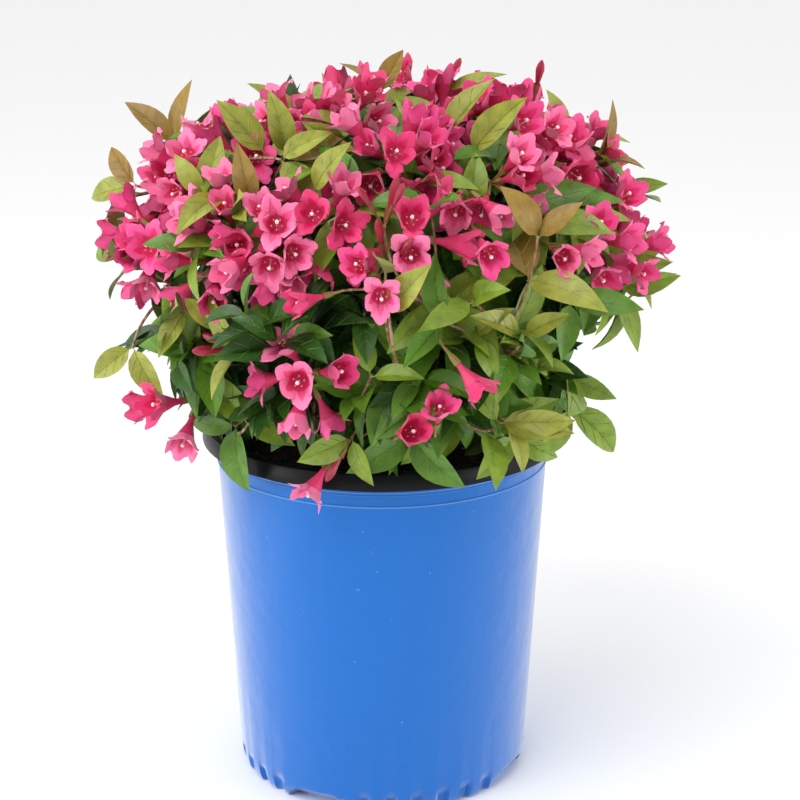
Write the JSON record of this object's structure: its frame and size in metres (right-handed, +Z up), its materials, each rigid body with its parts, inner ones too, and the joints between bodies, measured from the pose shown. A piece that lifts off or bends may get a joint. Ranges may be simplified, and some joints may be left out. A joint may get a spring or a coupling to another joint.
{
  "type": "potted flowering shrub",
  "caption": "Flowering shrub with arching twigs, pointed leaves and pink trumpet blossom, in a round lipped nursery pot.",
  "frame": {"origin": "centre of the pot's flat underside", "axes": "+Z up along the pot's axis; -Y towards the crown's best side; +X to the right as seen from that side"},
  "size_m": [0.3607, 0.3645, 0.4559],
  "materials": {
    "pot_plastic": "satin blue outside, black inside and on the lip",
    "potting_mix": "loose composted bark and peat, matte",
    "bark": "thin ridged bark, matte",
    "foliage": "soft satin leaves with pink blossom"
  },
  "bodies": {
    "root": {"pot": "pot_plastic", "potting_mix": "potting_mix", "woody_foot": "bark", "bough_top": "bark", "foliage_top": "foliage", "bough_upper_front": "bark", "foliage_upper_front": "foliage", "bough_upper_left": "bark", "foliage_upper_left": "foliage", "bough_upper_back_left": "bark", "foliage_upper_back_left": "foliage", "bough_upper_back_right": "bark", "foliage_upper_back_right": "foliage", "bough_upper_right": "bark", "foliage_upper_right": "foliage", "bough_front_left": "bark", "foliage_front_left": "foliage", "bough_front_right": "bark", "foliage_front_right": "foliage", "bough_right": "bark", "foliage_right": "foliage", "bough_back_right": "bark", "foliage_back_right": "foliage", "bough_right_of_back": "bark", "foliage_right_of_back": "foliage", "bough_left_of_back": "bark", "foliage_left_of_back": "foliage", "bough_back_left": "bark", "foliage_back_left": "foliage", "bough_left": "bark", "foliage_left": "foliage"}
  },
  "joints": []
}
